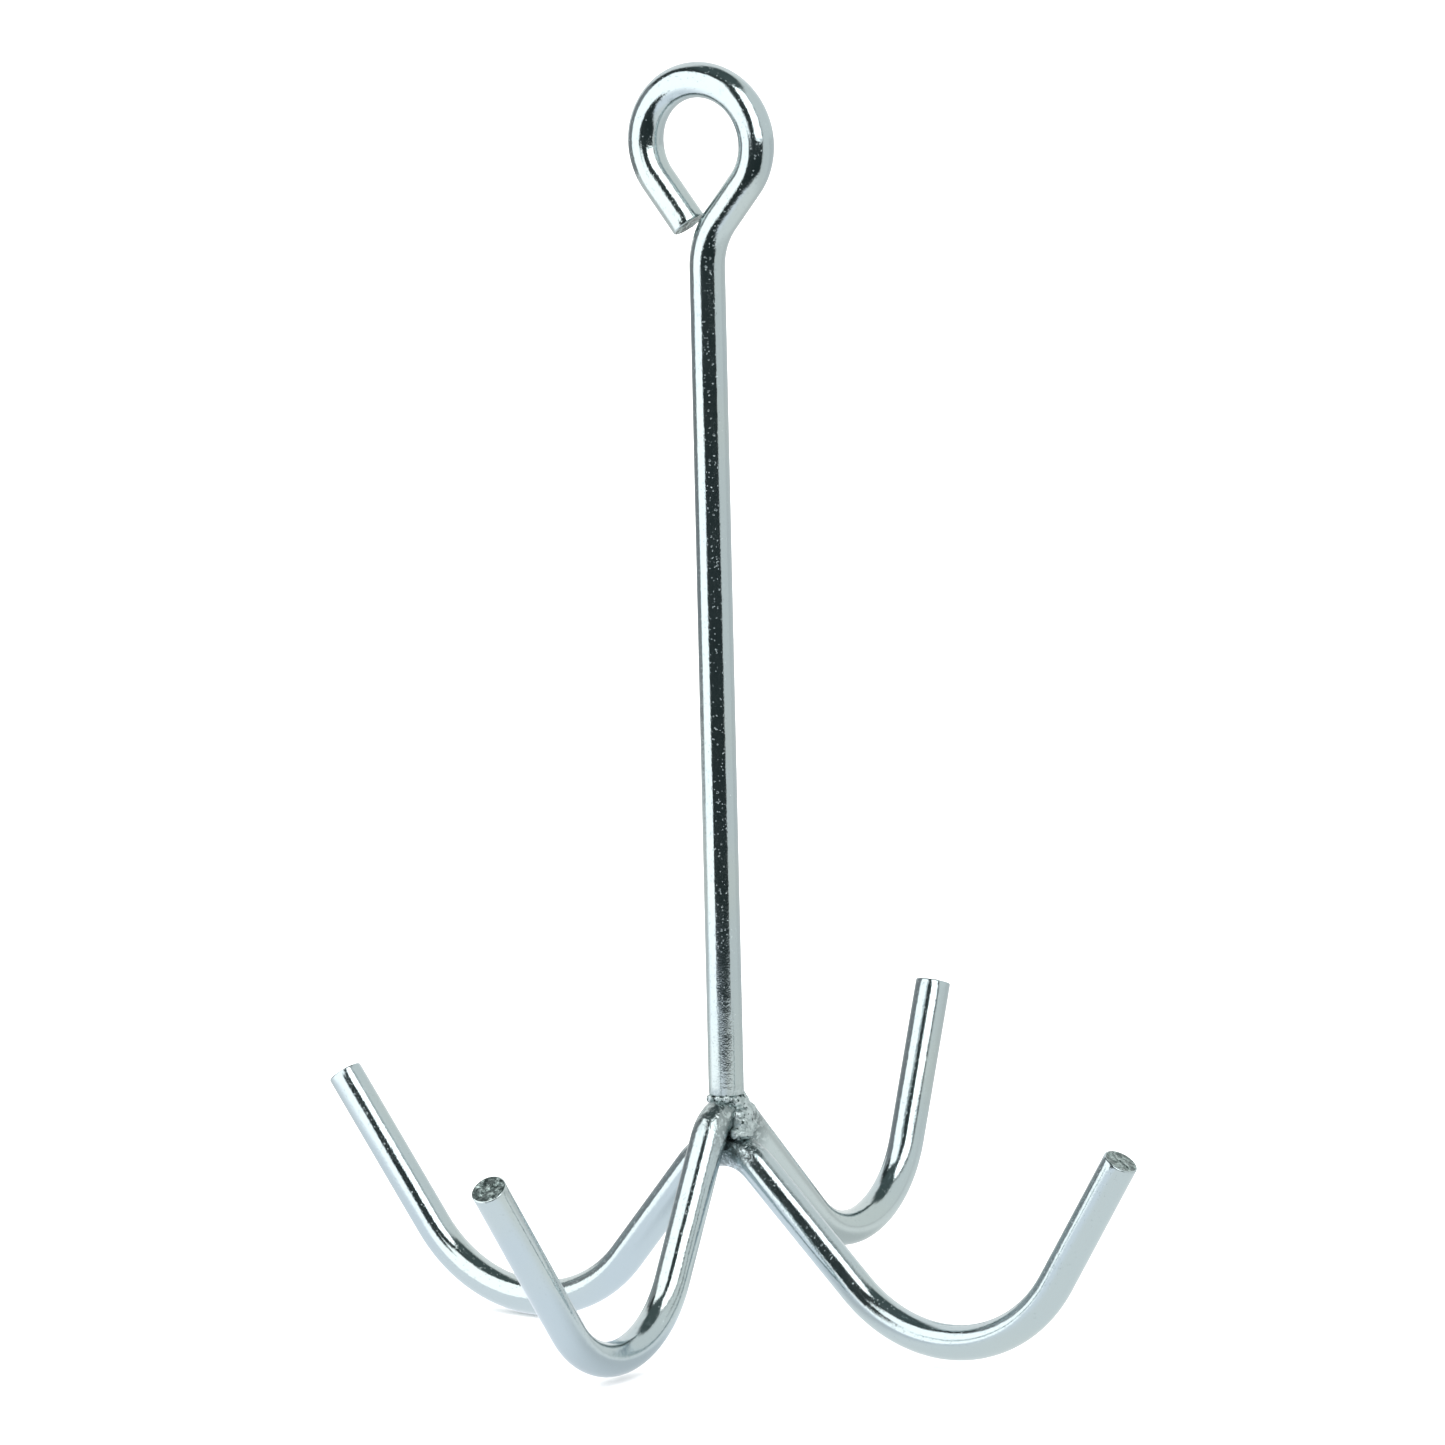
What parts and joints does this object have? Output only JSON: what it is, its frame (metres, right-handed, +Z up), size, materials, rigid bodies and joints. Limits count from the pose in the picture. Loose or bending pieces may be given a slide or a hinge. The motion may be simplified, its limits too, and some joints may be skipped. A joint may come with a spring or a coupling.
{
  "type": "four-prong hanging hook",
  "caption": "Four-prong hanging hook of bright plated steel rod: an eyed shank welded to two crossed double hooks with upturned prongs.",
  "frame": {"origin": "on the shank's axis, level with the middle of the eye that the hook hangs by", "axes": "+Z up along the shank towards the eye; X along the lower double hook; +Y along the upper double hook towards its steeper, raised prong"},
  "size_m": [0.2173, 0.1832, 0.2885],
  "materials": {
    "bright_plate": "mirror-bright plating over drawn steel rod, with a cool tint",
    "plated_weld": "the same plating over lumpy weld metal"
  },
  "bodies": {
    "root": {"shank_rod": "bright_plate", "upper_hook_rod": "bright_plate", "lower_hook_rod": "bright_plate", "foot_weld": "plated_weld", "crossing_weld_right": "plated_weld", "crossing_weld_left": "plated_weld"}
  },
  "joints": []
}
